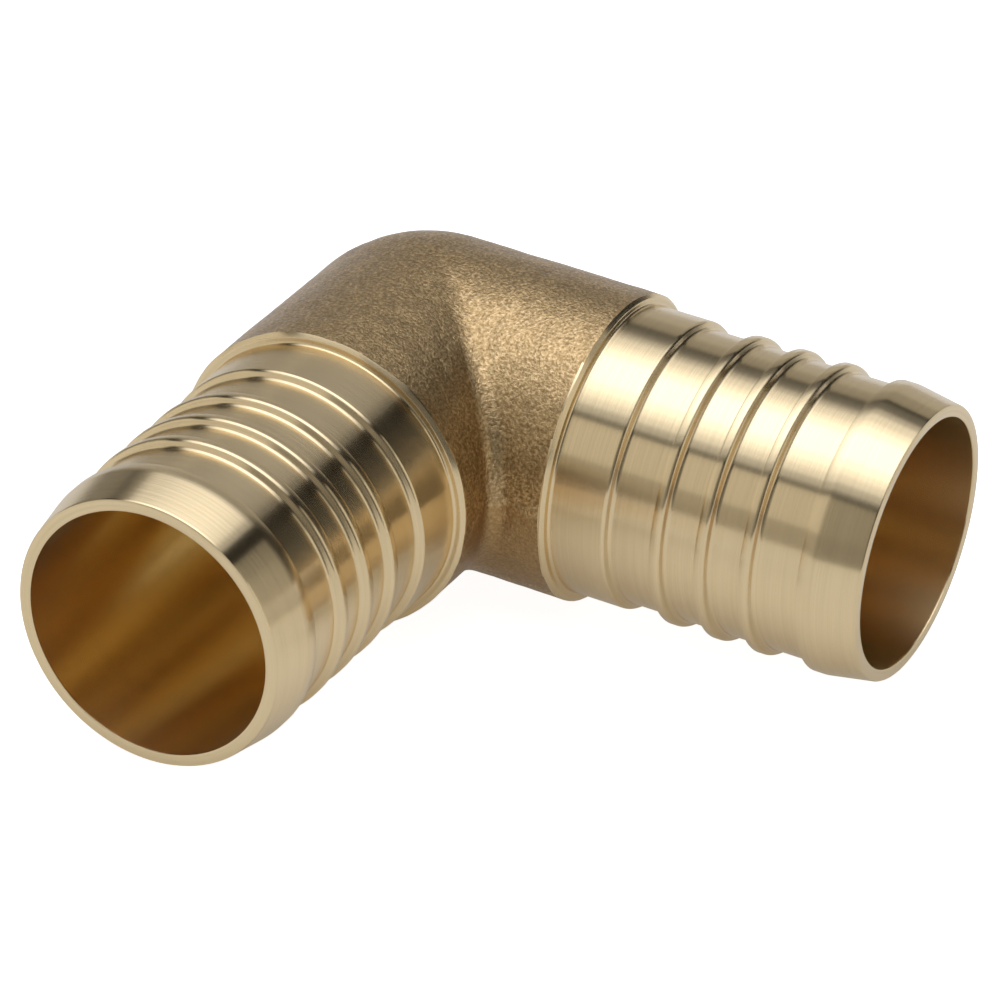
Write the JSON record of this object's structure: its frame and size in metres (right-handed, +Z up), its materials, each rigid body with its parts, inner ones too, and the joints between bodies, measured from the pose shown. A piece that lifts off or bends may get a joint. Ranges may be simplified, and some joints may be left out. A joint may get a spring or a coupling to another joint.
{
  "type": "pex crimp elbow",
  "caption": "Right-angle cast brass elbow with a ball-shaped outer corner and a turned, barbed spigot on each arm for crimped plastic water pipe.",
  "frame": {"origin": "middle of the fitting's outline in plan, on the surface that its cast body rests on; the centre lines of the arms cross at (-20.525, 20.525, 16.95) mm", "axes": "+X out of one arm, -Y out of the other, +Z up, square to the plane of both arms"},
  "size_m": [0.075, 0.075, 0.0339],
  "materials": {
    "brass": "sand-cast skin on the body, fine turned finish on the spigots and the bore"
  },
  "bodies": {
    "root": {"elbow": "brass"}
  },
  "joints": []
}
